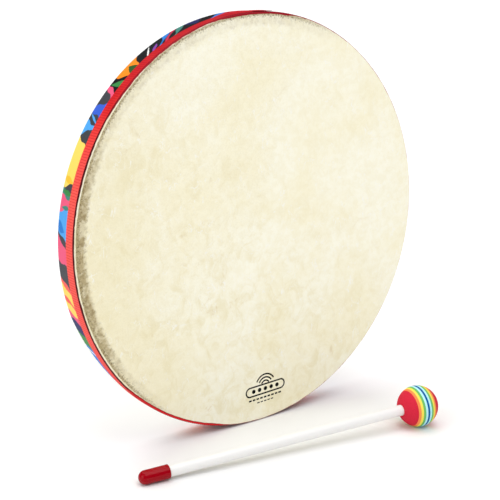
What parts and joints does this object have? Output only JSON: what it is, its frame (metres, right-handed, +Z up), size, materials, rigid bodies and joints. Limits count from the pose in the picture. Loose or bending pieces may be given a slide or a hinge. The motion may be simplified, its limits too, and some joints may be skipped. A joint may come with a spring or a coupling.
{
  "type": "frame drum",
  "caption": "Shallow round hand drum: wood-fibre hoop, glued translucent film head, woven edge ribbon and printed side, with a foam-ball beater.",
  "frame": {"origin": "on the drum's axis, at the middle of the shell's depth, which is the middle of the shell's bore", "axes": "+Y along the drum's axis, out of the open back; the head faces -Y; +Z up, with the drum on edge as it is held and played"},
  "size_m": [0.3564, 0.1361, 0.3568],
  "materials": {
    "wood_fibre": "matte",
    "adhesive": "satin",
    "head_film": "matte",
    "red_ribbon": "matte",
    "printed_sheet": "satin",
    "white_plastic": "gloss",
    "red_vinyl": "gloss",
    "red_foam": "matte",
    "orange_foam": "matte",
    "yellow_foam": "matte",
    "green_foam": "matte",
    "cyan_foam": "matte",
    "blue_foam": "matte"
  },
  "bodies": {
    "drum": {"shell_hoop": "wood_fibre", "head_adhesive": "adhesive", "head_film": "head_film", "edge_ribbon": "red_ribbon", "printed_wrap": "printed_sheet"},
    "beater": {"beater_shaft": "white_plastic", "grip_cap": "red_vinyl", "ball_red_grip_side": "red_foam", "ball_orange_grip_side": "orange_foam", "ball_yellow_grip_side": "yellow_foam", "ball_green_grip_side": "green_foam", "ball_cyan_grip_side": "cyan_foam", "ball_blue_centre": "blue_foam", "ball_cyan_tip_side": "cyan_foam", "ball_green_tip_side": "green_foam", "ball_yellow_tip_side": "yellow_foam", "ball_orange_tip_side": "orange_foam", "ball_red_tip_side": "red_foam"}
  },
  "joints": [
    {"name": "beater_lift", "type": "slide", "parent": "drum", "child": "beater", "axis": [0, 0, 1], "range_m": [0, 0.25]}
  ]
}
